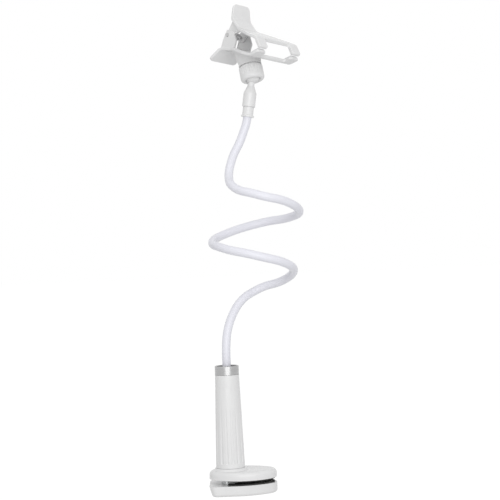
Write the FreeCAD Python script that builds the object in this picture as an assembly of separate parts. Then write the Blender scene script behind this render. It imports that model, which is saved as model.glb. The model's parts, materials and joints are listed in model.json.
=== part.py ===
import FreeCAD, Part
import math
import os

vec = FreeCAD.Vector
rotation = FreeCAD.Rotation
placement = FreeCAD.Placement
zero = vec(0, 0, 0)
up = vec(0, 0, 1)
os.makedirs("parts", exist_ok=True)

# the origin is on the grip's axis, on the underside of the upper jaw's pad
# clearances
guide_gap = 0.3
pin_gap = 0.08
seat_gap = 0.3
face_gap = 0.12
inlay_gap = 0.1

# clamp jaws
jaw_back = -21.5
jaw_nose = 46.0
upper_jaw_depth = 50.0
upper_jaw_height = 8.6
upper_jaw_round = 4.4
upper_jaw_end = 19.0
upper_foot_round = 0.6
lower_jaw_depth = 46.0
lower_jaw_height = 10.4
lower_jaw_end = 14.0
lower_jaw_round = 3.0
lower_jaw_undercut = 3.0
lower_jaw_straight = 6.0
lower_corner_round = 6.0
jaw_wall = 3.2
rib_thickness = 2.0
rib_step = 9.0
pocket_back = 5.0
pad_proud = 1.2
pad_inlaid = 0.8
pad_margin = 2.2
pad_back = -3.0
pad_notch = 1.2
rest_gap = 2.6

# clamp column and its screw
column_radius = 9.5
column_flats = 16.0
column_bore = 6.0
column_head_room = 3.3
column_socket = 5.5
screw_radius = 3.9
screw_foot = 5.0
screw_head_flats = 11.0
screw_head_height = 5.0
nut_flats = 12.0
nut_height = 6.5
nut_cover = 3.2
fixing_radius = 1.25
fixing_head_radius = 2.6
fixing_head_height = 1.8
fixing_spread = 7.75
fixing_reach = 9.0
fixing_tip_gap = 1.0
fixing_sunk = 0.4
fixing_slot = 0.7
fixing_slot_length = 3.2
fixing_slot_depth = 1.0

# grip
hub_radius = 17.4
hub_top_radius = 15.3
hub_rise = 2.2
hub_root = 0.5
spigot_radius = 12.0
spigot_height = 7.0
snap_depth = 1.1
snap_height = 1.3
snap_rise = 1.6
snap_proud = 0.9
snap_opening = 4.0
grip_bottom_radius = 14.5
grip_top_radius = 12.0
grip_height = 92.36
grip_bore = 10.0
grip_neck_bore = 8.0
grip_foot_chamfer = 0.25
grip_bore_cone = 3.0
neck_bore_length = 11.5
web_thickness = 8.0
cap_pocket_depth = 9.5
cap_pocket_radius = 9.0
flute_count = 16
flute_radius = 2.0
flute_depth = 0.75
flute_rise = 5.5
flute_drop = 13.0

# swivel at the grip's top
cap_thickness = 5.0
post_radius = 5.0
post_length = 8.0
clip_ring_radius = 7.2
clip_ring_height = 1.0
clip_ring_bite = 0.8
clip_ring_opening = 6.0
ring_radius = 12.0
ring_height = 9.0
ring_chamfer = 0.5
ring_foot_chamfer = 0.15
ring_wall = 1.6
ring_recess = 2.2

# gooseneck
neck_radius = 4.25
neck_bore_gap = 0.05
neck_inset = 7.4
head_reach = 30.7
head_rise = 247.4
stem_lean = 8.8

# upper ferrule and ball stem, measured along the stem from head_start
upper_ferrule_length = 10.0
upper_ferrule_radius = 5.5
lip_radius = 6.45
lip_height = 1.8
lip_fall = 1.2
neck_seat = 5.6
rivet_head_radius = 3.3
rivet_radius = 2.0
rivet_top = 7.6
stem_radius = 6.5
stem_chamfer = 0.5
stem_body_top = 24.0
stem_cone_top = 31.0
stem_neck_radius = 3.5
ball_height = 42.0
ball_radius = 8.0

# collar nut, measured along the socket from the ball's centre
collar_radius = 12.0
collar_bottom = -5.6
collar_top = 9.0
collar_mouth = 8.4
collar_lip = 7.2
collar_bore = 10.0
collar_step = -0.8
collar_rib_count = 24
collar_rib_width = 1.1
collar_rib_depth = 0.5
collar_rib_foot = 0.5
collar_edge = 0.6
collar_gap = 1.1
socket_radius = 11.5
socket_flare_radius = 16.0
flare_start_rise = 13.5
socket_length = 34.0
slit_width = 1.4
slit_rise = 5.0

# clip: f runs forward, w across, u up, from the middle of its pin
clip_yaw = -46.0
clip_pitch = 20.0
clip_roll = -5.0
ball_forward = 37.1
ball_drop = 31.5
socket_lean = 36.0
plate_thickness = 3.0
plate_bend = 8.0
lower_side = [(-10.2, -29.2), (-1.5, -15), (18, -11.5), (55, -10.7), (65.3, -3.6)]
upper_side = [(-4.4, 31.2), (0.7, 17), (14, 9), (57, 7.4), (66.2, -0.7)]
lower_paddle_half = 16.0
lower_tip_half = 18.5
upper_paddle_half = 13.0
upper_tip_half = 10.8
paddle_corner = 4.5
lower_corner = 3.2
plate_edge = 0.7
bar_half = 29.5
claw_width = 12.0
claw_corner = 3.0
pocket_back_edge = 42.4
pocket_front_edge = 46.4
pocket_from = 18.5
pocket_to = 27.0
pocket_depth = 1.6
flare_start = 13.0
flare_end = 44.0
bar_front = 58.0
claw_front = 72.0
flange_outline = [(-4.5, -16, 0), (14, -12, 0), (14, -3, 2), (7, 5, 2), (-2.6, 5, 2), (-4.4, -6, 4)]
flange_outer = 12.0
flange_thickness = 2.0
ear_outline = [
    (0.3, 17, 0), (-2.4, 6, 3), (-4.4, 0, 2), (-3, -4.2, 2), (3, -4.2, 2), (5.5, 1, 2),
    (14, 7.6, 0), (14, 9, 0)]
ear_thickness = 2.0
ear_gap = 0.4
pin_radius = 1.5
pin_head_radius = 1.9
pin_head_height = 1.0
claw_pad_thickness = 1.2
claw_pad_margin = 1.6
claw_pad_length = 8.0
spring_coil_radius = 3.4
spring_wire = 1.1
spring_pitch = 1.35
spring_turns = 4
spring_lower_leg = 11.6
spring_upper_leg = 13.0

# derived levels of the clamp
upper_jaw_bottom = pad_proud
upper_jaw_top = upper_jaw_bottom + upper_jaw_height
hub_top = upper_jaw_top + hub_rise
grip_bottom = hub_top + face_gap
grip_top = grip_bottom + grip_height
web_top = grip_top - cap_pocket_depth
web_bottom = web_top - web_thickness
neck_bore_bottom = web_bottom - neck_bore_length
column_top = neck_bore_bottom - grip_bore_cone - column_head_room
beyond = 2 * (jaw_nose - jaw_back)
lower_pad_top = -rest_gap
lower_jaw_top = lower_pad_top - pad_proud
lower_jaw_bottom = lower_jaw_top - lower_jaw_height
ring_bottom = grip_top + face_gap
ring_top = ring_bottom + ring_height
jaw_middle = (jaw_back + jaw_nose) / 2
jaw_half = (jaw_nose - jaw_back) / 2
collar_seat = ball_radius + seat_gap

# frames of the stem and the clip
head_start = vec(head_reach, 0, ring_top + head_rise)
stem_axis = vec(math.sin(math.radians(stem_lean)), 0, math.cos(math.radians(stem_lean)))
ball_centre = head_start + stem_axis * ball_height
stem_frame = placement(head_start, rotation(vec(0, 1, 0), stem_lean))
clip_turn = rotation(clip_yaw, clip_pitch, clip_roll)
pin_centre = ball_centre - clip_turn.multVec(vec(ball_forward, 0, -ball_drop))
clip_frame = placement(pin_centre, clip_turn)
socket_in_clip = placement(vec(ball_forward, 0, -ball_drop), rotation(vec(0, 1, 0), -socket_lean))
socket_frame = clip_frame.multiply(socket_in_clip)


def post(radius, bottom, top, x=0.0, y=0.0):
    return Part.makeCylinder(radius, top - bottom, vec(x, y, bottom))


def block(x0, x1, y0, y1, z0, z1):
    return Part.makeBox(x1 - x0, y1 - y0, z1 - z0, vec(x0, y0, z0))


def hexagon(flats, bottom, top):
    corner = flats / math.sqrt(3)
    points = []
    for i in range(7):
        angle = math.radians(30 + 60 * i)
        points.append(vec(corner * math.cos(angle), corner * math.sin(angle), bottom))
    return Part.Face(Part.makePolygon(points)).extrude(vec(0, 0, top - bottom))


def revolved(outline):
    corners = [vec(r, 0, z) for r, z in outline]
    face = Part.Face(Part.makePolygon(corners + corners[:1]))
    return face.revolve(zero, up, 360)


# end of an oval: an end arc between two flatter side arcs that meet it smoothly
def nose_arcs(middle, length, depth, end, margin, way=1):
    run = length - end
    side = (run ** 2 + depth ** 2 - end ** 2) / (2 * (depth - end))
    drop = side - depth
    meet = math.atan2(-drop, run)
    between = (meet - math.pi / 2) / 2
    far = vec(middle + way * (length - margin), 0, 0)
    edges = []
    ends = []
    for sign in (-1, 1):
        start = vec(middle, sign * (depth - margin), 0)
        half = vec(middle + way * (side - margin) * math.cos(between),
                   -sign * (drop + (side - margin) * math.sin(between)), 0)
        stop = vec(middle + way * (run + (end - margin) * math.cos(meet)),
                   -sign * (end - margin) * math.sin(meet), 0)
        edges.append(Part.Arc(start, half, stop).toShape())
        ends.append(stop)
    edges.append(Part.Arc(ends[0], far, ends[1]).toShape())
    return edges


def plate_from(edges, bottom, top):
    wire = Part.Wire(Part.__sortEdges__(edges))
    wire.translate(vec(0, 0, bottom))
    return Part.Face(wire).extrude(vec(0, 0, top - bottom))


def edges_where(shape, test):
    return [edge for edge in shape.Edges if test(edge)]


def corner_arc(before, corner, after, radius):
    to_before = (before - corner).normalize()
    to_after = (after - corner).normalize()
    half = to_before.getAngle(to_after) / 2
    reach = radius / math.tan(half)
    bisector = (to_before + to_after).normalize()
    centre = corner + bisector * (radius / math.sin(half))
    start = corner + to_before * reach
    end = corner + to_after * reach
    return start, centre - bisector * radius, end


# flat face with its corners rounded, from (x, y, radius) corners
def rounded_face(corners):
    points = [vec(x, y, 0) for x, y, r in corners]
    edges = []
    first = None
    last = None
    for i, (x, y, radius) in enumerate(corners):
        start = points[i]
        end = points[i]
        arc = None
        if radius > 0:
            after = points[(i + 1) % len(points)]
            start, middle, end = corner_arc(points[i - 1], points[i], after, radius)
            arc = Part.Arc(start, middle, end).toShape()
        if last is None:
            first = start
        else:
            edges.append(Part.makeLine(last, start))
        if arc is not None:
            edges.append(arc)
        last = end
    edges.append(Part.makeLine(last, first))
    return Part.Face(Part.Wire(edges))


# side outline of a bent plate of even thickness along a path
def strip_face(path, thickness, bend, shift=0.0):
    points = [vec(x, y, 0) for x, y in path]
    normals = []
    for a, b in zip(points, points[1:]):
        along = (b - a).normalize()
        normals.append(vec(-along.y, along.x, 0))
    left = []
    right = []
    for i, here in enumerate(points):
        before = normals[max(i - 1, 0)]
        after = normals[min(i, len(normals) - 1)]
        mitre = (before + after).normalize()
        mitre = mitre * (1 / mitre.dot(after))
        side = before.cross(after).z
        inner = bend - thickness / 2
        outer = bend + thickness / 2
        if abs(side) < 1e-6:
            inner = 0
            outer = 0
        a = here + mitre * (shift + thickness / 2)
        b = here + mitre * (shift - thickness / 2)
        left.append((a.x, a.y, inner if side > 0 else outer))
        right.append((b.x, b.y, outer if side > 0 else inner))
    return rounded_face(left + right[::-1])


# prism across the clip from an outline in its side plane
def side_prism(face, low, high):
    solid = face.extrude(vec(0, 0, high - low))
    solid.translate(vec(0, 0, -high))
    solid.rotate(zero, vec(1, 0, 0), 90)
    return solid


def double_d(radius, flats, bottom, top):
    return post(radius, bottom, top).common(block(-radius, radius, -flats / 2, flats / 2, bottom, top))


def upper_outline(margin, bottom, top):
    half = upper_jaw_depth / 2
    edges = nose_arcs(jaw_middle, jaw_half, half, upper_jaw_end, margin)
    edges += nose_arcs(jaw_middle, jaw_half, half, upper_jaw_end, margin, -1)
    return plate_from(edges, bottom, top)


def lower_outline(margin, bottom, top):
    half = lower_jaw_depth / 2
    nose = jaw_nose - lower_jaw_straight
    edges = nose_arcs(lower_jaw_straight, nose, half, lower_jaw_end, margin)
    corners = [vec(x, y, 0) for x, y in [
        (lower_jaw_straight, margin - half), (jaw_back + margin, margin - half),
        (jaw_back + margin, half - margin), (lower_jaw_straight, half - margin)]]
    edges += [Part.makeLine(a, b) for a, b in zip(corners, corners[1:])]
    return plate_from(edges, bottom, top)


# the pad is cut square behind the column and notched round it
def pad_shape(outline, bottom, top, gap=0.0):
    notch = column_radius + pad_notch - gap
    body = outline(pad_margin - gap, bottom, top)
    body = body.common(block(pad_back - gap, beyond, -beyond, beyond, bottom, top))
    body = body.cut(post(notch, bottom, top))
    return body.cut(block(-beyond, 0, -notch, notch, bottom, top))


# pocket under a pad, with ribs left standing in it
def rib_pocket(outline, bottom, top):
    pocket = outline(jaw_wall + pad_margin, bottom, top)
    back = column_radius + pocket_back
    pocket = pocket.common(block(back, beyond, -beyond, beyond, bottom, top))
    half = rib_thickness / 2
    ribs = [block(0, beyond, -half, half, bottom, top)]
    for x in (back + rib_step, back + 2 * rib_step):
        ribs.append(block(x - half, x + half, -beyond, beyond, bottom, top))
    return pocket.cut(ribs)


def make_upper_jaw():
    body = upper_outline(0, upper_jaw_bottom, upper_jaw_top)
    rim = edges_where(body, lambda e: e.BoundBox.ZMin > upper_jaw_top - 0.1)
    body = body.makeFillet(upper_jaw_round, rim)
    foot = edges_where(body, lambda e: e.BoundBox.ZMax < upper_jaw_bottom + 0.1)
    body = body.makeFillet(upper_foot_round, foot)
    root = upper_jaw_top - hub_root
    hub = Part.makeCone(hub_radius, hub_top_radius, hub_top - root, vec(0, 0, root))
    spigot = post(spigot_radius, root, hub_top + spigot_height)
    body = body.fuse([hub, spigot]).removeSplitter()
    recess_top = upper_jaw_bottom + pad_inlaid
    body = body.cut(pad_shape(upper_outline, upper_jaw_bottom, recess_top, inlay_gap))
    body = body.cut(rib_pocket(upper_outline, recess_top, upper_jaw_top - jaw_wall))
    hole = double_d(column_radius + guide_gap, column_flats + 2 * guide_gap,
                    upper_jaw_bottom, hub_top + spigot_height)
    return body.cut([hole, snap_band(2 * snap_proud)])


def snap_band(proud):
    bottom = hub_top + snap_rise
    body = post(spigot_radius + proud, bottom, bottom + snap_height)
    return body.cut(post(spigot_radius - snap_depth, bottom, bottom + snap_height))


# split wire ring that holds the grip down on the jaw's spigot
def make_snap_ring():
    half = snap_opening / 2
    bottom = hub_top + snap_rise
    return snap_band(snap_proud).cut(block(0, beyond, -half, half, bottom, bottom + snap_height))


def make_upper_pad():
    return pad_shape(upper_outline, 0, pad_proud + pad_inlaid)


def make_lower_jaw():
    body = lower_outline(0, lower_jaw_bottom, lower_jaw_top)
    slant = Part.Face(Part.makePolygon([
        vec(jaw_back, -beyond, lower_jaw_top),
        vec(jaw_back + lower_jaw_undercut, -beyond, lower_jaw_bottom),
        vec(jaw_back, -beyond, lower_jaw_bottom),
        vec(jaw_back, -beyond, lower_jaw_top)]))
    body = body.cut(slant.extrude(vec(0, 2 * beyond, 0)))
    corners = edges_where(body, lambda e: e.BoundBox.ZLength > lower_jaw_height / 2 and e.BoundBox.XMax < 0)
    body = body.makeFillet(lower_corner_round, corners)
    foot = edges_where(body, lambda e: e.BoundBox.ZMax < lower_jaw_bottom + 0.1)
    body = body.makeFillet(lower_jaw_round, foot)
    recess = lower_jaw_top - pad_inlaid
    body = body.cut(pad_shape(lower_outline, recess, lower_jaw_top, inlay_gap))
    body = body.cut(rib_pocket(lower_outline, lower_jaw_bottom + jaw_wall, recess))
    tools = [double_d(column_radius + inlay_gap, column_flats + 2 * inlay_gap,
                      lower_jaw_top - column_socket, lower_jaw_top)]
    for x in (-fixing_spread, fixing_spread):
        tools.append(post(fixing_radius + inlay_gap, lower_jaw_bottom, lower_jaw_top, x))
        head_top = lower_jaw_bottom + fixing_head_height + fixing_sunk
        tools.append(post(fixing_head_radius + seat_gap, lower_jaw_bottom, head_top, x))
    return body.cut(tools)


def make_lower_pad():
    return pad_shape(lower_outline, lower_jaw_top - pad_inlaid, lower_pad_top)


def make_column():
    foot = lower_jaw_top - column_socket
    body = double_d(column_radius, column_flats, foot, column_top)
    nut_top = column_top - nut_cover
    nut_bottom = nut_top - nut_height - 2 * inlay_gap
    half = nut_flats / 2 + inlay_gap
    tools = [post(column_bore, foot, nut_bottom), post(screw_radius + 2 * seat_gap, foot, column_top)]
    corner = nut_flats / math.sqrt(3) + inlay_gap
    tools.append(block(-half, half, -corner, beyond, nut_bottom, nut_top))
    for x in (-fixing_spread, fixing_spread):
        tools.append(post(fixing_radius, foot, foot + fixing_reach, x))
    return body.cut(tools)


def make_lead_nut():
    top = column_top - nut_cover - inlay_gap
    body = hexagon(nut_flats, top - nut_height, top)
    return body.cut(post(screw_radius + pin_gap, top - nut_height, top))


def make_fixings():
    head_bottom = lower_jaw_bottom + fixing_sunk
    wide = fixing_slot / 2
    long = fixing_slot_length / 2
    deep = head_bottom + fixing_slot_depth
    head_top = head_bottom + fixing_head_height
    tip = lower_jaw_top - column_socket + fixing_reach - fixing_tip_gap
    screws = []
    for x in (-fixing_spread, fixing_spread):
        body = post(fixing_head_radius, head_bottom, head_top, x)
        body = body.fuse(post(fixing_radius, head_top, tip, x)).removeSplitter()
        arm = block(x - long, x + long, -wide, wide, head_bottom, deep)
        cross = block(x - wide, x + wide, -long, long, head_bottom, deep)
        screws.append(body.cut([arm, cross]))
    return Part.makeCompound(screws)


def make_lead_screw():
    seat = web_top - screw_head_height
    head = hexagon(screw_head_flats, seat, seat + screw_head_height)
    body = post(screw_radius, screw_foot, seat).fuse(head).removeSplitter()
    return body


def grip_radius_at(rise):
    return grip_bottom_radius + (grip_top_radius - grip_bottom_radius) * rise / grip_height


# straight groove with a round foot that runs out of the grip's taper near the top
def make_flute():
    high = grip_height - flute_drop
    foot = vec(grip_radius_at(flute_rise) + flute_radius - flute_depth, 0, grip_bottom + flute_rise)
    head = vec(grip_radius_at(high) + flute_radius, 0, grip_bottom + high)
    body = Part.makeCylinder(flute_radius, (head - foot).Length, foot, head - foot)
    return body.fuse(Part.makeSphere(flute_radius, foot))


def make_grip():
    bearing = spigot_radius + guide_gap
    bearing_top = hub_top + spigot_height + 2 * seat_gap
    body = revolved([
        (bearing, grip_bottom),
        (grip_bottom_radius - grip_foot_chamfer, grip_bottom),
        (grip_bottom_radius, grip_bottom + grip_foot_chamfer),
        (grip_top_radius, grip_top),
        (cap_pocket_radius, grip_top),
        (cap_pocket_radius, web_top),
        (screw_radius + inlay_gap, web_top),
        (screw_radius + inlay_gap, web_bottom),
        (grip_neck_bore, web_bottom),
        (grip_neck_bore, neck_bore_bottom),
        (grip_bore, neck_bore_bottom - grip_bore_cone),
        (grip_bore, bearing_top + bearing - grip_bore),
        (bearing, bearing_top)])
    seat = web_top - screw_head_height
    snap_bottom = hub_top + snap_rise - seat_gap
    snap_top = snap_bottom + snap_height + 2 * seat_gap
    tools = [hexagon(screw_head_flats + 2 * inlay_gap, seat, web_top)]
    tools.append(post(spigot_radius + snap_proud + seat_gap, snap_bottom, snap_top))
    flute = make_flute()
    for i in range(flute_count):
        turned = flute.copy()
        turned.rotate(zero, up, 360 * (i + 0.5) / flute_count)
        tools.append(turned)
    return body.cut(tools)


def make_swivel_cap():
    bottom = grip_top - cap_thickness
    body = post(cap_pocket_radius - inlay_gap, bottom, grip_top)
    return body.cut(post(post_radius + pin_gap, bottom, grip_top))


def ring_slot(bottom, top, inner):
    body = post(clip_ring_radius, bottom, top)
    return body.cut(post(inner, bottom, top))


# foot of the arm, sunk into the ring's top and held under the cap by a spring ring
def make_lower_ferrule():
    bottom = ring_bottom - post_length
    foot_top = ring_top - ring_recess
    foot_radius = ring_radius - ring_wall - inlay_gap
    bore = neck_radius + neck_bore_gap
    body = revolved([
        (0, bottom), (post_radius, bottom), (post_radius, ring_bottom),
        (foot_radius, ring_bottom), (foot_radius, foot_top), (bore, foot_top),
        (bore, ring_top - neck_inset), (0, ring_top - neck_inset)])
    slot_top = grip_top - cap_thickness - seat_gap
    return body.cut(ring_slot(slot_top - clip_ring_height, slot_top, post_radius - clip_ring_bite))


def make_spring_ring():
    top = grip_top - cap_thickness - seat_gap
    bottom = top - clip_ring_height
    body = ring_slot(bottom, top, post_radius - clip_ring_bite)
    half = clip_ring_opening / 2
    return body.cut(block(0, beyond, -half, half, bottom, top))


def make_arm_ring():
    inside = ring_radius - ring_wall
    return revolved([
        (inside, ring_bottom), (ring_radius - ring_foot_chamfer, ring_bottom),
        (ring_radius, ring_bottom + ring_foot_chamfer), (ring_radius, ring_top - ring_chamfer),
        (ring_radius - ring_chamfer, ring_top), (inside + ring_chamfer, ring_top),
        (inside, ring_top - ring_chamfer)])


# stations of the bent neck's centre line: lower bends up from the ring's top, upper ones down from the head
lower_bends = [
    (0, 0, 8.4), (5, 4, 43.4), (16, 13, 62.4), (35, 27, 74.4), (60, 19, 82.4),
    (70.5, -8, 92.4), (62, -34, 100.4), (34, -48, 108.9), (3, -36, 116.9), (-9, -8, 123.4)]
upper_bends = [
    (13, 25, 112.5), (41, 34, 105.5), (69, 19, 101.5), (78.5, -8, 96.5), (66, -36, 87.5),
    (37, -47, 79.5), (16, -35, 72.0), (10, -13, 58.0), (14, -3, 41.0), (23.5, 0, 21.5)]


# direction at b of the circle through three points
def circle_direction(a, b, c):
    share = (c - b).Length / (b - a).Length
    along = (b - a) * share + (c - b) * (1 / share)
    return along.normalize()


# one arc of the neck: the round section turned about the arc's own axis
def neck_arc(start, direction, end):
    chord = end - start
    axis = direction.cross(chord)
    section = Part.Face(Part.Wire(Part.makeCircle(neck_radius, start, direction)))
    if axis.Length < 1e-4 * chord.Length:
        return section.extrude(chord), direction
    axis.normalize()
    angle = 2 * direction.getAngle(chord)
    towards = axis.cross(direction)
    centre = start + towards * (chord.Length / (2 * math.sin(angle / 2)))
    leaving = rotation(axis, math.degrees(angle)).multVec(direction)
    return section.revolve(centre, axis, math.degrees(angle)), leaving


def make_gooseneck():
    head_end = head_start + stem_axis * (neck_seat - seat_gap)
    points = [vec(0, 0, ring_top - neck_inset + seat_gap)]
    points += [vec(x, y, ring_top + z) for x, y, z in lower_bends]
    points += [vec(x, y, head_start.z - z) for x, y, z in upper_bends]
    points += [head_start, head_end]
    directions = [up]
    for a, b, c in zip(points, points[1:], points[2:]):
        directions.append(circle_direction(a, b, c))
    directions[1] = up
    directions[-1] = stem_axis
    directions.append(stem_axis)
    pieces = []
    heading = up
    for i in range(len(points) - 1):
        a = points[i]
        b = points[i + 1]
        t = directions[i]
        u = directions[i + 1]
        span = b - a
        total = t + u
        spread = 2 * (1 - t.dot(u))
        pull = span.dot(total)
        if spread < 1e-9:
            reach = span.Length / 2
        else:
            reach = (math.sqrt(pull * pull + spread * span.dot(span)) - pull) / spread
        middle = (a + b + (t - u) * reach) * 0.5
        for start, end in ((a, middle), (middle, b)):
            piece, heading = neck_arc(start, heading, end)
            pieces.append(piece)
    body = pieces[0].fuse(pieces[1:])
    return body.removeSplitter()


def make_upper_ferrule():
    body = revolved([
        (neck_radius + neck_bore_gap, 0), (lip_radius, 0), (lip_radius, lip_height - lip_fall / 2),
        (upper_ferrule_radius, lip_height + lip_fall / 2), (upper_ferrule_radius, upper_ferrule_length),
        (rivet_radius + pin_gap, upper_ferrule_length), (rivet_radius + pin_gap, rivet_top),
        (rivet_head_radius + seat_gap, rivet_top), (rivet_head_radius + seat_gap, neck_seat),
        (neck_radius + neck_bore_gap, neck_seat)])
    body.Placement = stem_frame
    return body


def make_ball_stem():
    foot = upper_ferrule_length + face_gap
    body = revolved([
        (0, neck_seat + seat_gap), (rivet_head_radius, neck_seat + seat_gap),
        (rivet_head_radius, rivet_top - seat_gap), (rivet_radius, rivet_top - seat_gap),
        (rivet_radius, foot), (stem_radius - stem_chamfer, foot), (stem_radius, foot + stem_chamfer),
        (stem_radius, stem_body_top), (stem_neck_radius, stem_cone_top),
        (stem_neck_radius, ball_height), (0, ball_height)])
    body = body.fuse(Part.makeSphere(ball_radius, vec(0, 0, ball_height))).removeSplitter()
    body.Placement = stem_frame
    return body


def make_collar():
    lip_drop = -math.sqrt(collar_seat ** 2 - collar_lip ** 2)
    seat_edge = math.sqrt(collar_seat ** 2 - collar_step ** 2)
    seat_middle = vec(collar_seat * math.cos(math.radians(18)), 0, -collar_seat * math.sin(math.radians(18)))
    swell = collar_radius - collar_mouth - collar_edge
    lower = vec(collar_radius - swell, 0, collar_bottom)
    bend = vec(collar_radius - swell * 0.293, 0, collar_bottom + swell * 0.293)
    side = vec(collar_radius, 0, collar_bottom + swell)
    corners = [side, vec(collar_radius, 0, collar_top - collar_edge),
               vec(collar_radius - collar_edge, 0, collar_top), vec(collar_bore, 0, collar_top),
               vec(collar_bore, 0, collar_step), vec(seat_edge, 0, collar_step)]
    edges = [Part.makeLine(a, b) for a, b in zip(corners, corners[1:])]
    lip = vec(collar_lip, 0, lip_drop)
    mouth = vec(collar_mouth, 0, collar_bottom)
    edges.append(Part.Arc(corners[-1], seat_middle, lip).toShape())
    edges.append(Part.makeLine(lip, mouth))
    edges.append(Part.makeLine(mouth, lower))
    edges.append(Part.Arc(lower, bend, side).toShape())
    body = Part.Face(Part.Wire(edges)).revolve(zero, up, 360)
    floor = collar_radius - collar_rib_depth
    notch = [vec(floor, 0, 0), vec(collar_radius + collar_rib_depth, collar_rib_width, 0),
             vec(collar_radius + collar_rib_depth, -collar_rib_width, 0), vec(floor, 0, 0)]
    groove = Part.Face(Part.makePolygon(notch)).extrude(vec(0, 0, collar_top))
    groove.translate(vec(0, 0, collar_rib_foot))
    tools = []
    for i in range(collar_rib_count):
        turned = groove.copy()
        turned.rotate(zero, up, 360 * i / collar_rib_count)
        tools.append(turned)
    body = body.cut(tools)
    body.Placement = socket_frame
    return body


# plan of a clip half: paddle at the back, flaring to the bar with a claw at each end
def clip_plan(side, paddle_half, tip_half):
    inner = bar_half - claw_width
    tip = side[0][0]
    root = side[1][0]
    half = [(2 * tip, tip_half + (tip_half - paddle_half) * tip / (tip - root), 0)]
    if tip_half != paddle_half:
        half.append((root, paddle_half, paddle_corner))
    half += [(flare_start, paddle_half, 6), (flare_end, bar_half, 8),
            (claw_front, bar_half, 0), (claw_front, inner, 0), (bar_front, inner, 2)]
    mirrored = [(x, -y, r) for x, y, r in half]
    face = rounded_face(mirrored + half[::-1])
    solid = face.extrude(vec(0, 0, 2 * beyond))
    solid.translate(vec(0, 0, -beyond))
    return solid


# edges whose two faces meet at a marked angle
def sharp_edges(shape):
    found = []
    for edge in shape.Edges:
        middle = edge.valueAt((edge.FirstParameter + edge.LastParameter) / 2)
        normals = []
        for face in shape.ancestorsOfType(edge, Part.Face):
            u, v = face.Surface.parameter(middle)
            normals.append(face.normalAt(u, v))
        if len(normals) == 2 and normals[0].getAngle(normals[1]) > math.radians(40):
            found.append(edge)
    return found


# edges through the plate's thickness at one end of it
def end_edges(plate, end, halves):
    found = []
    for edge in plate.Edges:
        at = edge.CenterOfMass
        if math.hypot(at.x - end[0], at.z - end[1]) < 1:
            if min(abs(abs(at.y) - half) for half in halves) < 1:
                found.append(edge)
    return found


def clip_plate(side, paddle_half, tip_half, corner):
    plate = side_prism(strip_face(side, plate_thickness, plate_bend), -2 * bar_half, 2 * bar_half)
    plate = plate.common(clip_plan(side, paddle_half, tip_half))
    plate = plate.makeFillet(corner, end_edges(plate, side[0], [tip_half]))
    plate = plate.makeFillet(claw_corner, end_edges(plate, side[-1], [bar_half, bar_half - claw_width]))
    return plate.makeFillet(plate_edge, sharp_edges(plate))


def mirrored_pair(face, low, high):
    return [side_prism(face, low, high), side_prism(face, -high, -low)]


def pin_bore(radius):
    return Part.makeCylinder(radius, 4 * flange_outer, vec(0, -2 * flange_outer, 0), vec(0, 1, 0))


# ball cup under the lower half, with a slit skirt that the collar closes on
def make_socket():
    shoulder = collar_top + collar_gap
    flare = Part.makeCone(socket_radius, socket_flare_radius, socket_length - flare_start_rise,
                          vec(0, 0, flare_start_rise))
    skirt = post(collar_bore - guide_gap, collar_step + guide_gap, shoulder)
    body = post(socket_radius, shoulder, flare_start_rise).fuse([flare, skirt]).removeSplitter()
    cup = Part.makeSphere(collar_seat).fuse(post(collar_seat, collar_step, 0))
    half = slit_width / 2
    slit = block(-beyond, beyond, -half, half, collar_step, slit_rise)
    other = block(-half, half, -beyond, beyond, collar_step, slit_rise)
    return body.cut([cup, slit, other])


def make_clip_base():
    body = clip_plate(lower_side, lower_paddle_half, lower_tip_half, lower_corner)
    flange = rounded_face(flange_outline)
    flanges = mirrored_pair(flange, flange_outer - flange_thickness, flange_outer)
    cup = make_socket()
    cup.Placement = socket_in_clip
    bar = lower_side[3]
    above = lower_side[:4] + [(bar[0], beyond), (-beyond, beyond)]
    above += [(-beyond, lower_side[0][1])] + lower_side[:1]
    above = [vec(x, -beyond, z) for x, z in above]
    above = Part.Face(Part.makePolygon(above)).extrude(vec(0, 2 * beyond, 0))
    body = body.fuse(flanges + [cup.cut(above)]).removeSplitter()
    top = bar[1] + plate_thickness / 2
    pockets = []
    for w in (pocket_from, -pocket_to):
        pockets.append(block(pocket_back_edge, pocket_front_edge, w, w + pocket_to - pocket_from,
                             top - pocket_depth, top + pocket_depth))
    body = body.cut(pockets + [pin_bore(pin_radius)])
    body.Placement = clip_frame
    return body


def make_clip_lever():
    body = clip_plate(upper_side, upper_paddle_half, upper_tip_half, paddle_corner)
    ear = rounded_face(ear_outline)
    outside = flange_outer - flange_thickness - ear_gap
    ears = mirrored_pair(ear, outside - ear_thickness, outside)
    body = body.fuse(ears).removeSplitter()
    body = body.cut(pin_bore(pin_radius + pin_gap))
    body.Placement = clip_frame
    return body


def make_pivot_pin():
    end = flange_outer + pin_head_height
    body = Part.makeCylinder(pin_radius, 2 * end, vec(0, -end, 0), vec(0, 1, 0))
    for y in (-end, flange_outer):
        body = body.fuse(Part.makeCylinder(pin_head_radius, pin_head_height, vec(0, y, 0), vec(0, 1, 0)))
    body = body.removeSplitter()
    body.Placement = clip_frame
    return body


# rubber faces on the inside of the two claws of one half
def make_claw_pads(side, inward):
    start = vec(side[-2][0], side[-2][1], 0)
    end = vec(side[-1][0], side[-1][1], 0)
    along = (end - start).normalize()
    first = end - along * (claw_pad_length + claw_pad_margin)
    last = end - along * claw_pad_margin
    shift = inward * (plate_thickness + claw_pad_thickness) / 2
    face = strip_face([(first.x, first.y), (last.x, last.y)], claw_pad_thickness, 0, shift)
    low = bar_half - claw_width + claw_pad_margin
    body = Part.makeCompound(mirrored_pair(face, low, bar_half - claw_pad_margin))
    body.Placement = clip_frame
    return body


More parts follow.
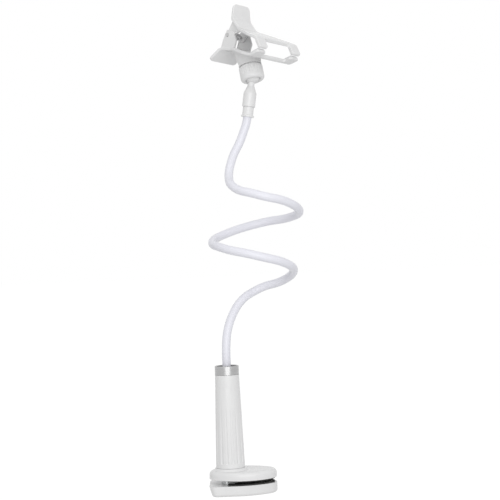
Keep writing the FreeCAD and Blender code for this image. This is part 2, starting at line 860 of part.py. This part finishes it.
# torsion spring round the pin, with one straight leg to each half of the clip
def make_spring():
    length = spring_turns * spring_pitch
    half = spring_wire / 2
    points = []
    for i in range(7):
        angle = math.radians(60 * i)
        points.append(vec(spring_coil_radius + half * math.cos(angle), 0, half * math.sin(angle)))
    section = Part.makePolygon(points)
    coil = Part.Wire(Part.makeHelix(spring_pitch, length, spring_coil_radius))
    body = coil.makePipeShell([section], True, True)
    lower_leg = Part.Face(section).extrude(vec(0, -spring_lower_leg, 0))
    upper_leg = Part.Face(section).extrude(vec(0, spring_upper_leg, 0))
    upper_leg.translate(vec(0, 0, length))
    body = body.fuse([lower_leg, upper_leg])
    body.translate(vec(0, 0, -length / 2))
    body.rotate(zero, vec(1, 0, 0), 90)
    body.Placement = clip_frame.multiply(body.Placement)
    return body


nodes = {
    "upper_jaw": make_upper_jaw(),
    "upper_jaw_pad": make_upper_pad(),
    "grip_snap_ring": make_snap_ring(),
    "lower_jaw": make_lower_jaw(),
    "lower_jaw_pad": make_lower_pad(),
    "clamp_column": make_column(),
    "lead_nut": make_lead_nut(),
    "column_screws": make_fixings(),
    "lead_screw": make_lead_screw(),
    "grip": make_grip(),
    "swivel_cap": make_swivel_cap(),
    "lower_ferrule": make_lower_ferrule(),
    "swivel_spring_ring": make_spring_ring(),
    "arm_ring": make_arm_ring(),
    "gooseneck": make_gooseneck(),
    "upper_ferrule": make_upper_ferrule(),
    "ball_stem": make_ball_stem(),
    "collar_nut": make_collar(),
    "clip_base": make_clip_base(),
    "clip_lever": make_clip_lever(),
    "pivot_pin": make_pivot_pin(),
    "lower_claw_pads": make_claw_pads(lower_side, 1),
    "upper_claw_pads": make_claw_pads(upper_side, -1),
    "torsion_spring": make_spring()}

for name, shape in nodes.items():
    print(name, shape.ShapeType, len(shape.Solids), shape.isValid(), round(shape.Volume, 1))
    shape.exportStep("parts/" + name + ".step")
print("ball", ball_centre, "pin", pin_centre)
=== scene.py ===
import bpy
import json
import math
from mathutils import Matrix, Vector


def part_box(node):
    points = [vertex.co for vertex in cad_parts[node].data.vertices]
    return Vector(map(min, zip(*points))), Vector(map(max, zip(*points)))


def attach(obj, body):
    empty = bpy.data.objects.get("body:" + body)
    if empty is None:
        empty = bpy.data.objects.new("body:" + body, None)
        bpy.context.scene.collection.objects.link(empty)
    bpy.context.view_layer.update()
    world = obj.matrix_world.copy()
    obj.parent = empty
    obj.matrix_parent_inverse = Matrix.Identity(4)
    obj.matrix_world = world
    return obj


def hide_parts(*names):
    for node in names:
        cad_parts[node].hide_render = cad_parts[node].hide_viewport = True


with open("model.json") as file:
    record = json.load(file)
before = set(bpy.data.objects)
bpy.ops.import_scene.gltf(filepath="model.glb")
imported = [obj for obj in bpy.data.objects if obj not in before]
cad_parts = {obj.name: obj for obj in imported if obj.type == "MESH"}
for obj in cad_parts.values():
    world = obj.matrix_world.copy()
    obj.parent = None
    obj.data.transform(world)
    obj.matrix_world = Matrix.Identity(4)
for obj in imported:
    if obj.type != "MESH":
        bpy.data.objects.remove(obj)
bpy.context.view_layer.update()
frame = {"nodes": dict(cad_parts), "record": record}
nodes = frame["nodes"]
print("frame loaded with", len(nodes), "nodes")

# shared by all pieces
upAxis = Vector((0, 0, 1))
sideAxis = Vector((0, 1, 0))
unturned = Matrix.Identity(3)
quarterTurn = math.radians(90)
smoothAngle = math.radians(40)
mmPerMetre = 1000
joinGap = 1e-6


def clearSelection():
    if bpy.context.object and bpy.context.object.mode != "OBJECT":
        bpy.ops.object.mode_set(mode="OBJECT")
    bpy.ops.object.select_all(action="DESELECT")


def takeUp(piece):
    clearSelection()
    piece.select_set(True)
    bpy.context.view_layer.objects.active = piece


# leaves the piece at the origin with its place in its mesh
def settle(piece, name):
    takeUp(piece)
    bpy.ops.object.transform_apply(location=True, rotation=True, scale=True)
    bpy.ops.object.shade_smooth_by_angle(angle=smoothAngle)
    piece.name = name
    piece.data.name = name


# noise in the piece's own place, stretched along its axes
def placedNoise(tree, scale, stretch, detail):
    place = tree.nodes.new("ShaderNodeTexCoord")
    fit = tree.nodes.new("ShaderNodeMapping")
    fit.inputs["Scale"].default_value = stretch
    noise = tree.nodes.new("ShaderNodeTexNoise")
    noise.inputs["Scale"].default_value = scale
    noise.inputs["Detail"].default_value = detail
    tree.links.new(place.outputs["Object"], fit.inputs["Vector"])
    tree.links.new(fit.outputs["Vector"], noise.inputs["Vector"])
    return noise.outputs["Fac"]


# noise turned into the finish's tones
def toned(tree, noise, look):
    ramp = tree.nodes.new("ShaderNodeValToRGB")
    ramp.color_ramp.elements[0].position = look["noiseLow"]
    ramp.color_ramp.elements[1].position = look["noiseHigh"]
    ramp.color_ramp.elements[0].color = look["dark"] + (1,)
    ramp.color_ramp.elements[1].color = look["light"] + (1,)
    tree.links.new(noise, ramp.inputs["Fac"])
    return ramp.outputs["Color"]


# noise turned into the finish's roughness
def roughened(tree, noise, look):
    fit = tree.nodes.new("ShaderNodeMapRange")
    fit.inputs["From Min"].default_value = look["noiseLow"]
    fit.inputs["From Max"].default_value = look["noiseHigh"]
    fit.inputs["To Min"].default_value = look["rough"][0]
    fit.inputs["To Max"].default_value = look["rough"][1]
    tree.links.new(noise, fit.inputs["Value"])
    return fit.outputs["Result"]


def raised(tree, noise, look):
    bump = tree.nodes.new("ShaderNodeBump")
    bump.inputs["Distance"].default_value = look["height"]
    bump.inputs["Strength"].default_value = look["bump"]
    tree.links.new(noise, bump.inputs["Height"])
    return bump.outputs["Normal"]


# one finish from its settings: tone, gloss and grain
def makeFinish(name, look):
    finish = bpy.data.materials.new(name)
    finish.use_nodes = True
    tree = finish.node_tree
    shader = [n for n in tree.nodes if n.type == "BSDF_PRINCIPLED"][0]
    shader.inputs["Metallic"].default_value = look["metal"]
    shader.inputs["IOR"].default_value = look["ior"]
    shader.inputs["Specular IOR Level"].default_value = look["specular"]
    mottle = placedNoise(tree, look["mottle"], look["stretch"], look["mottleDetail"])
    grain = placedNoise(tree, look["grain"], look["stretch"], look["grainDetail"])
    tree.links.new(toned(tree, mottle, look), shader.inputs["Base Color"])
    tree.links.new(roughened(tree, grain, look), shader.inputs["Roughness"])
    tree.links.new(raised(tree, grain, look), shader.inputs["Normal"])
    return finish


# what each finish has unless its own settings say otherwise
plainLook = {
    "metal": 0.0, "ior": 1.46, "specular": 0.5, "stretch": (1, 1, 1), "bump": 1.0,
    "mottleDetail": 4.0, "grainDetail": 6.0, "noiseLow": 0.3, "noiseHigh": 0.7}
finishes = {
    "whiteShell": {
        "dark": (0.775, 0.775, 0.777), "light": (0.800, 0.800, 0.801), "mottle": 45,
        "grain": 2600, "rough": (0.22, 0.30), "height": 0.000008},
    "whiteSleeve": {
        "dark": (0.815, 0.816, 0.880), "light": (0.832, 0.833, 0.893), "mottle": 60,
        "grain": 3200, "rough": (0.32, 0.36), "height": 0.0000015},
    "whiteRubber": {
        "dark": (0.735, 0.740, 0.745), "light": (0.775, 0.778, 0.782), "mottle": 160,
        "grain": 3600, "rough": (0.62, 0.75), "height": 0.00003, "specular": 0.35},
    "blackRubber": {
        "dark": (0.030, 0.030, 0.029), "light": (0.050, 0.049, 0.048), "mottle": 220,
        "grain": 3400, "rough": (0.62, 0.8), "height": 0.00004, "specular": 0.3},
    "blackPlastic": {
        "dark": (0.020, 0.020, 0.020), "light": (0.030, 0.030, 0.030), "mottle": 180,
        "grain": 2600, "rough": (0.45, 0.6), "height": 0.00002, "specular": 0.35},
    "greyColumn": {
        "dark": (0.50, 0.51, 0.515), "light": (0.60, 0.61, 0.615), "mottle": 260,
        "grain": 1500, "rough": (0.34, 0.5), "height": 0.00001, "metal": 0.9,
        "stretch": (1, 1, 0.04)},
    "brushedRing": {
        "dark": (0.40, 0.40, 0.402), "light": (0.48, 0.48, 0.482), "mottle": 40,
        "grain": 70, "rough": (0.24, 0.34), "height": 0.000006, "metal": 1.0,
        "stretch": (1, 1, 60)},
    "steel": {
        "dark": (0.52, 0.52, 0.52), "light": (0.6, 0.6, 0.6), "mottle": 300,
        "grain": 2400, "rough": (0.34, 0.48), "height": 0.000008, "metal": 1.0},
    "springSteel": {
        "dark": (0.62, 0.62, 0.625), "light": (0.70, 0.70, 0.705), "mottle": 300,
        "grain": 2400, "rough": (0.42, 0.55), "height": 0.000008, "metal": 1.0},
    "brass": {
        "dark": (0.52, 0.38, 0.14), "light": (0.62, 0.46, 0.19), "mottle": 200,
        "grain": 2200, "rough": (0.28, 0.42), "height": 0.000008, "metal": 1.0}}
finishOf = {
    "upper_jaw": "whiteShell", "upper_jaw_pad": "blackRubber", "grip_snap_ring": "steel",
    "lower_jaw": "whiteShell", "lower_jaw_pad": "blackRubber", "clamp_column": "greyColumn",
    "lead_nut": "brass", "column_screws": "steel", "lead_screw": "steel", "grip": "whiteShell",
    "swivel_cap": "whiteShell", "lower_ferrule": "blackPlastic", "swivel_spring_ring": "steel",
    "arm_ring": "brushedRing", "gooseneck": "whiteSleeve", "upper_ferrule": "whiteShell",
    "ball_stem": "whiteShell", "collar_nut": "whiteShell", "clip_base": "whiteShell",
    "clip_lever": "whiteShell", "pivot_pin": "steel", "torsion_spring": "springSteel",
    "lower_claw_pads": "whiteRubber", "upper_claw_pads": "whiteRubber"}
made = {name: makeFinish(name, {**plainLook, **look}) for name, look in finishes.items()}
for nodeName, finishName in finishOf.items():
    nodes[nodeName].data.materials.clear()
    nodes[nodeName].data.materials.append(made[finishName])
print("finishes made:", len(made))

# the neck's sleeve, spun arc by arc along the bent line, over the wound strip that ripples it;
# the stations it passes through are in mm, from the middle of the ring's top
sleeve = {
    "radius": 0.00425, "sides": 28, "ringStep": 0.00045, "pitchRings": 8, "ripple": 0.00002,
    "plainEnd": 20, "inset": 0.0071, "headReach": 0.0307, "headRise": 0.2474,
    "headSeat": 0.0053, "stemLean": 8.8, "leastTurn": 1e-9, "leastBend": 1e-4,
    "stations": [
        (0, 0, 8.4), (5, 4, 43.4), (16, 13, 62.4), (35, 27, 74.4), (60, 19, 82.4),
        (70.5, -8, 92.4), (62, -34, 100.4), (34, -48, 108.9), (3, -36, 116.9),
        (-9, -8, 123.4), (13, 25, 134.9), (41, 34, 141.9), (69, 19, 145.9),
        (78.5, -8, 150.9), (66, -36, 159.9), (37, -47, 167.9), (16, -35, 175.4),
        (10, -13, 189.4), (14, -3, 206.4), (23.5, 0, 225.9)]}


# heading at the middle one of three points, on the circle through them
def circleHeading(before, here, after):
    share = (after - here).length / (here - before).length
    return ((here - before) * share + (after - here) / share).normalized()


# two tangent arcs from a to b, as (centre, axis, angle, length); a straight one has no centre
def arcPair(a, b, leaving, arriving):
    span = b - a
    turn = 2 * (1 - leaving.dot(arriving))
    pull = span.dot(leaving + arriving)
    reach = span.length / 2
    if turn > sleeve["leastTurn"]:
        reach = (math.sqrt(pull * pull + turn * span.dot(span)) - pull) / turn
    middle = (a + b + (leaving - arriving) * reach) / 2
    arcs = []
    heading = leaving.copy()
    for start, end in ((a, middle), (middle, b)):
        chord = end - start
        axis = heading.cross(chord)
        if axis.length < sleeve["leastBend"] * chord.length:
            arcs.append((None, chord, 0.0, chord.length))
            continue
        axis.normalize()
        angle = 2 * heading.angle(chord)
        radius = chord.length / (2 * math.sin(angle / 2))
        arcs.append((start + axis.cross(heading) * radius, axis, angle, radius * angle))
        heading = Matrix.Rotation(angle, 3, axis) @ heading
    return arcs


def makeSleeve():
    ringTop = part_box("arm_ring")[1].z
    lean = math.radians(sleeve["stemLean"])
    stemAxis = Vector((math.sin(lean), 0, math.cos(lean)))
    head = Vector((sleeve["headReach"], 0, ringTop + sleeve["headRise"]))
    points = [Vector((0, 0, ringTop - sleeve["inset"]))]
    for x, y, z in sleeve["stations"]:
        points.append(Vector((x / mmPerMetre, y / mmPerMetre, ringTop + z / mmPerMetre)))
    points += [head, head + stemAxis * sleeve["headSeat"]]
    headings = [upAxis, upAxis]
    headings += [circleHeading(*points[i - 1:i + 2]) for i in range(2, len(points) - 2)]
    headings += [stemAxis, stemAxis]
    clearSelection()
    bpy.ops.mesh.primitive_circle_add(
        vertices=sleeve["sides"], radius=sleeve["radius"], location=points[0], enter_editmode=True)
    for i in range(len(points) - 1):
        arcs = arcPair(points[i], points[i + 1], headings[i], headings[i + 1])
        for centre, axis, angle, length in arcs:
            steps = max(1, round(length / sleeve["ringStep"]))
            if centre is None:
                for step in range(steps):
                    bpy.ops.mesh.extrude_region_move(
                        TRANSFORM_OT_translate={"value": axis / steps})
            else:
                bpy.ops.mesh.spin(steps=steps, angle=-angle, center=centre, axis=axis)
    bpy.ops.mesh.select_all(action="SELECT")
    bpy.ops.mesh.fill_holes(sides=0)
    bpy.ops.mesh.normals_make_consistent(inside=False)
    bpy.ops.mesh.select_all(action="DESELECT")
    bpy.ops.mesh.select_mode(type="VERT")
    bpy.ops.object.mode_set(mode="OBJECT")
    return bpy.context.object


# a soft dip winds round the sleeve, one turn in each pitch
def rippleSpiral(piece):
    sides = sleeve["sides"]
    pitch = sleeve["pitchRings"]
    rings = len(piece.data.vertices) // sides
    turn = sides * pitch
    corners = [[] for step in range(turn)]
    for ring in range(sleeve["plainEnd"], rings - sleeve["plainEnd"]):
        for side in range(sides):
            corners[(ring * sides + side * pitch) % turn].append(ring * sides + side)
    dip = piece.vertex_groups.new(name="dip")
    for step in range(turn):
        dip.add(corners[step], 0.5 - 0.5 * math.cos(2 * math.pi * step / turn), "REPLACE")
    takeUp(piece)
    press = piece.modifiers.new("ripple", "DISPLACE")
    press.mid_level = 0
    press.strength = -sleeve["ripple"]
    press.vertex_group = dip.name
    bpy.ops.object.modifier_apply(modifier=press.name)
    piece.vertex_groups.clear()
    print("sleeve rings:", rings)


sleevePiece = makeSleeve()
rippleSpiral(sleevePiece)
sleevePiece.data.materials.append(made["whiteSleeve"])
settle(sleevePiece, "gooseneckSleeve")
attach(sleevePiece, "arm")
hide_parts("gooseneck")


# a merged copy of a node's mesh, to cut detail into
def copyNode(nodeName, name):
    mesh = nodes[nodeName].data.copy()
    piece = bpy.data.objects.new(name, mesh)
    bpy.context.collection.objects.link(piece)
    takeUp(piece)
    bpy.ops.object.mode_set(mode="EDIT")
    bpy.ops.mesh.select_all(action="SELECT")
    bpy.ops.mesh.remove_doubles(threshold=joinGap)
    bpy.ops.object.mode_set(mode="OBJECT")
    return piece


def addBar(place, size, turn=unturned):
    clearSelection()
    bpy.ops.mesh.primitive_cube_add(size=1, location=place, rotation=turn.to_euler())
    bpy.context.object.scale = size
    return bpy.context.object


def cutAway(piece, bars):
    clearSelection()
    for bar in bars:
        bar.select_set(True)
    bpy.context.view_layer.objects.active = bars[0]
    bpy.ops.object.join()
    cutter = bpy.context.object
    takeUp(piece)
    cut = piece.modifiers.new("grooves", "BOOLEAN")
    cut.operation = "DIFFERENCE"
    cut.solver = "EXACT"
    cut.object = cutter
    bpy.ops.object.modifier_apply(modifier=cut.name)
    takeUp(cutter)
    bpy.ops.object.delete()


# rubber jaw pads with cross grooves that stop inside the rim
jawPads = {
    "first": 0.0135, "pitch": 0.0046, "groove": 0.0018, "depth": 0.0007, "rim": 0.0022,
    "shortest": 0.006, "flatness": 1e-5}


# half the width of a pad at x, on its face at the given level
def halfWidth(mesh, x, level):
    wide = 0.0
    for edge in mesh.edges:
        a, b = (mesh.vertices[i].co for i in edge.vertices)
        onFace = max(abs(a.z - level), abs(b.z - level)) < jawPads["flatness"]
        if onFace and (a.x - x) * (b.x - x) < 0:
            wide = max(wide, abs(a.y + (b.y - a.y) * (x - a.x) / (b.x - a.x)))
    return wide


# facing is 1 for a pad that looks up and -1 for one that looks down
def makeJawPad(nodeName, name, body, facing):
    pad = copyNode(nodeName, name)
    low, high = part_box(nodeName)
    level = high.z if facing > 0 else low.z
    bars = []
    x = jawPads["first"]
    while x < high.x:
        half = halfWidth(pad.data, x, level) - jawPads["rim"]
        if half * 2 > jawPads["shortest"]:
            size = (jawPads["groove"], 2 * half, 2 * jawPads["depth"])
            bars.append(addBar((x, 0, level), size))
        x += jawPads["pitch"]
    cutAway(pad, bars)
    settle(pad, name)
    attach(pad, body)
    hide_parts(nodeName)
    print(name, "grooves:", len(bars))


makeJawPad("upper_jaw_pad", "upperPadGrooved", "base", -1)
makeJawPad("lower_jaw_pad", "lowerPadGrooved", "lower_clamp", 1)

# the clip's own frame: forward, across and up, from the middle of its pin
clip = {"yaw": -46, "pitch": 20, "roll": -5}
clipTurn = Matrix.Rotation(math.radians(clip["yaw"]), 3, "Z")
clipTurn = clipTurn @ Matrix.Rotation(math.radians(clip["pitch"]), 3, "Y")
clipTurn = clipTurn @ Matrix.Rotation(math.radians(clip["roll"]), 3, "X")
joints = {joint["name"]: joint for joint in frame["record"]["behaviour"]["joints"]}
pinPlace = Vector(joints["clip_open"]["pos_m"])

# rubber faces in the claws, ribbed across the phone's edge; in mm, in the clip's own frame
clawPads = {
    "upper": ((57, 7.4), (66.2, -0.7)), "lower": ((55, -10.7), (65.3, -3.6)),
    "plate": 3.0, "pad": 1.2, "length": 8.0, "margin": 1.6,
    "ribs": 5, "groove": 0.7, "depth": 0.45, "wide": 80}


# line runs along the claw to its tip; inward is the side of it that the pads are on
def makeClawPads(nodeName, name, body, line, inward):
    pads = copyNode(nodeName, name)
    start, end = (Vector((f, 0, u)) for f, u in line)
    along = (end - start).normalized()
    across = Vector((-along.z, 0, along.x)) * inward
    face = across * (clawPads["plate"] / 2 + clawPads["pad"])
    pitch = clawPads["length"] / clawPads["ribs"]
    turn = clipTurn @ Matrix((along, sideAxis, along.cross(sideAxis))).transposed()
    bar = (clawPads["groove"], clawPads["wide"], 2 * clawPads["depth"])
    size = tuple(side / mmPerMetre for side in bar)
    bars = []
    for i in range(1, clawPads["ribs"]):
        spot = end - along * (clawPads["margin"] + pitch * i) + face
        bars.append(addBar(pinPlace + clipTurn @ spot / mmPerMetre, size, turn))
    cutAway(pads, bars)
    settle(pads, name)
    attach(pads, body)
    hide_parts(nodeName)
    print(name, "made")


makeClawPads("lower_claw_pads", "lowerClawRibs", "clip", clawPads["lower"], 1)
makeClawPads("upper_claw_pads", "upperClawRibs", "lever", clawPads["upper"], -1)

# the clip's spring in round wire: a coil on the pin with a leg on each plate
spring = {
    "coil": 0.0034, "wire": 0.00055, "sides": 12, "pitch": 0.00135, "turns": 4, "steps": 36,
    "lowerLeg": 0.0116, "upperLeg": 0.013, "endMargin": 1.1}


# draws the coil's end at one height out into a straight leg
def drawLeg(piece, height, reach):
    for corner in piece.data.vertices:
        flat = abs(corner.co.y) < joinGap and corner.co.x > 0
        near = abs(corner.co.z - height) < spring["endMargin"] * spring["wire"]
        corner.select = flat and near
    takeUp(piece)
    bpy.ops.object.mode_set(mode="EDIT")
    bpy.ops.mesh.select_mode(type="VERT")
    bpy.ops.mesh.extrude_region_move(TRANSFORM_OT_translate={"value": (0, reach, 0)})
    bpy.ops.mesh.select_all(action="DESELECT")
    bpy.ops.object.mode_set(mode="OBJECT")


def makeSpring():
    clearSelection()
    bpy.ops.mesh.primitive_circle_add(
        vertices=spring["sides"], radius=spring["wire"], location=(spring["coil"], 0, 0),
        rotation=(quarterTurn, 0, 0))
    piece = bpy.context.object
    bpy.ops.object.transform_apply(location=True, rotation=True, scale=True)
    wind = piece.modifiers.new("coil", "SCREW")
    wind.axis = "Z"
    wind.angle = 2 * math.pi
    wind.screw_offset = spring["pitch"]
    wind.iterations = spring["turns"]
    wind.steps = spring["steps"]
    wind.render_steps = spring["steps"]
    bpy.ops.object.modifier_apply(modifier=wind.name)
    rise = spring["pitch"] * spring["turns"]
    drawLeg(piece, 0, -spring["lowerLeg"])
    drawLeg(piece, rise, spring["upperLeg"])
    bpy.ops.object.mode_set(mode="EDIT")
    bpy.ops.mesh.select_all(action="SELECT")
    bpy.ops.mesh.remove_doubles(threshold=joinGap)
    bpy.ops.mesh.fill_holes(sides=0)
    bpy.ops.mesh.normals_make_consistent(inside=False)
    bpy.ops.object.mode_set(mode="OBJECT")
    stand = Matrix.Rotation(quarterTurn, 4, "X") @ Matrix.Translation((0, 0, -rise / 2))
    piece.matrix_world = Matrix.Translation(pinPlace) @ clipTurn.to_4x4() @ stand
    return piece


springPiece = makeSpring()
springPiece.data.materials.append(made["springSteel"])
settle(springPiece, "springCoil")
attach(springPiece, "clip")
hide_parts("torsion_spring")
print("spring wound")

# the studio: a pale floor, a white background, a soft box in front and one above
studio = {
    "floorDrop": 0.075, "floorSize": 30.0, "floorGlow": 0.83, "floorTone": 0.3,
    "floorBounce": 0.76, "daylight": 0.61, "background": 1.0, "aim": (0.03, 0, 0.22)}
softBoxes = {
    "frontBox": {"place": (0.25, -1.75, 0.5), "size": (1.5, 1.1), "power": 12.8},
    "topBox": {"place": (-0.1, -0.35, 1.5), "size": (1.2, 1.2), "power": 2.5}}
view = {
    "place": (0.028, -1.4, 0.2281), "roll": 2.3, "frame": 0.5, "distance": 1.4,
    "sensor": 36, "farthest": 100}


def grey(tone):
    return (tone, tone, tone, 1)


# 1 for the rays that see the plain white background, 0 for those that light the object
def seesBackground(tree):
    path = tree.nodes.new("ShaderNodeLightPath")
    total = path.outputs["Is Camera Ray"]
    for kind in ("Is Glossy Ray", "Is Transmission Ray"):
        either = tree.nodes.new("ShaderNodeMath")
        either.operation = "MAXIMUM"
        tree.links.new(total, either.inputs[0])
        tree.links.new(path.outputs[kind], either.inputs[1])
        total = either.outputs["Value"]
    return total


# one shader for the rays that see the background and another for the light that falls back
def splitRays(tree, seen, lighting, outputKind):
    pick = tree.nodes.new("ShaderNodeMixShader")
    out = tree.nodes.new(outputKind)
    tree.links.new(seesBackground(tree), pick.inputs[0])
    tree.links.new(lighting.outputs[0], pick.inputs[1])
    tree.links.new(seen.outputs[0], pick.inputs[2])
    tree.links.new(pick.outputs[0], out.inputs["Surface"])


def makeFloor():
    clearSelection()
    place = (0, 0, -studio["floorDrop"])
    bpy.ops.mesh.primitive_plane_add(size=studio["floorSize"], location=place)
    floor = bpy.context.object
    floor.name = "studioFloor"
    finish = bpy.data.materials.new("paleFloor")
    finish.use_nodes = True
    tree = finish.node_tree
    tree.nodes.clear()
    glow = tree.nodes.new("ShaderNodeEmission")
    glow.inputs["Strength"].default_value = studio["floorGlow"]
    matte = tree.nodes.new("ShaderNodeBsdfDiffuse")
    matte.inputs["Color"].default_value = grey(studio["floorTone"])
    both = tree.nodes.new("ShaderNodeAddShader")
    tree.links.new(glow.outputs[0], both.inputs[0])
    tree.links.new(matte.outputs[0], both.inputs[1])
    plain = tree.nodes.new("ShaderNodeBsdfDiffuse")
    plain.inputs["Color"].default_value = grey(studio["floorBounce"])
    splitRays(tree, both, plain, "ShaderNodeOutputMaterial")
    floor.data.materials.append(finish)


def whiteSky(tree, strength):
    sky = tree.nodes.new("ShaderNodeBackground")
    sky.inputs["Strength"].default_value = strength
    sky.inputs["Color"].default_value = grey(1)
    return sky


def makeSky():
    world = bpy.data.worlds.new("studioSky")
    bpy.context.scene.world = world
    world.use_nodes = True
    tree = world.node_tree
    tree.nodes.clear()
    seen = whiteSky(tree, studio["background"])
    lighting = whiteSky(tree, studio["daylight"])
    splitRays(tree, seen, lighting, "ShaderNodeOutputWorld")


def makeSoftBox(name, box):
    clearSelection()
    bpy.ops.object.light_add(type="AREA", location=box["place"])
    lamp = bpy.context.object
    lamp.name = name
    lamp.data.shape = "RECTANGLE"
    lamp.data.size, lamp.data.size_y = box["size"]
    lamp.data.energy = box["power"]
    toward = Vector(studio["aim"]) - Vector(box["place"])
    lamp.rotation_euler = toward.to_track_quat("-Z", "Y").to_euler()


def makeCamera():
    clearSelection()
    turn = (quarterTurn, math.radians(view["roll"]), 0)
    bpy.ops.object.camera_add(location=view["place"], rotation=turn)
    camera = bpy.context.object
    camera.data.sensor_width = view["sensor"]
    camera.data.sensor_fit = "HORIZONTAL"
    camera.data.angle = 2 * math.atan(view["frame"] / 2 / view["distance"])
    camera.data.clip_end = view["farthest"]
    bpy.context.scene.camera = camera


makeFloor()
makeSky()
for boxName, box in softBoxes.items():
    makeSoftBox(boxName, box)
makeCamera()
bpy.context.scene.view_settings.view_transform = "Standard"
print("studio set")

bpy.context.view_layer.update()
